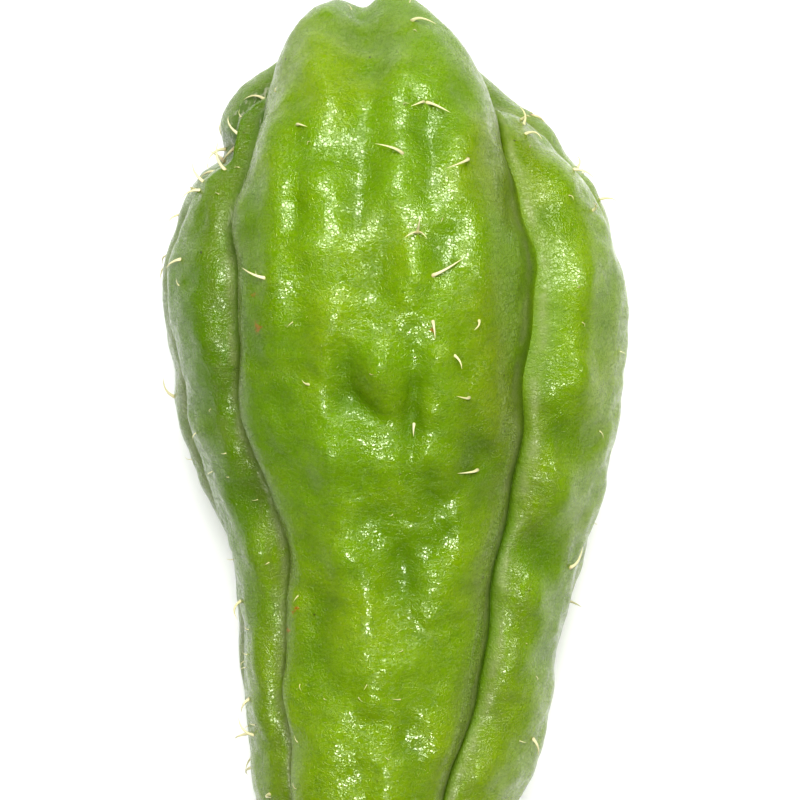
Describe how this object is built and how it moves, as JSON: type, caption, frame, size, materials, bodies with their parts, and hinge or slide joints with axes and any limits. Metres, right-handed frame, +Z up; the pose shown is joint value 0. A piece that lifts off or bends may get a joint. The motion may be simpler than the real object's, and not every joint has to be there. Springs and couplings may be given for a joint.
{
  "type": "chayote squash",
  "caption": "Large furrowed chayote squash with scattered soft spines, a puckered blossom cleft and a short cut stem, lying on its side.",
  "frame": {"origin": "bottom centre of the fruit as it lies, on the surface under the middle of its bounding box", "axes": "+Z up from the surface it lies on, +Y along the fruit towards the blossom end, +X across it to the right"},
  "size_m": [0.0846, 0.1654, 0.0722],
  "materials": {
    "skin": "waxy yellow-green skin, finely grained, with a broken satin gloss",
    "stem": "dull, dry, fibrous"
  },
  "bodies": {
    "root": {"fruit": "skin", "stem_stump": "stem"}
  },
  "joints": []
}
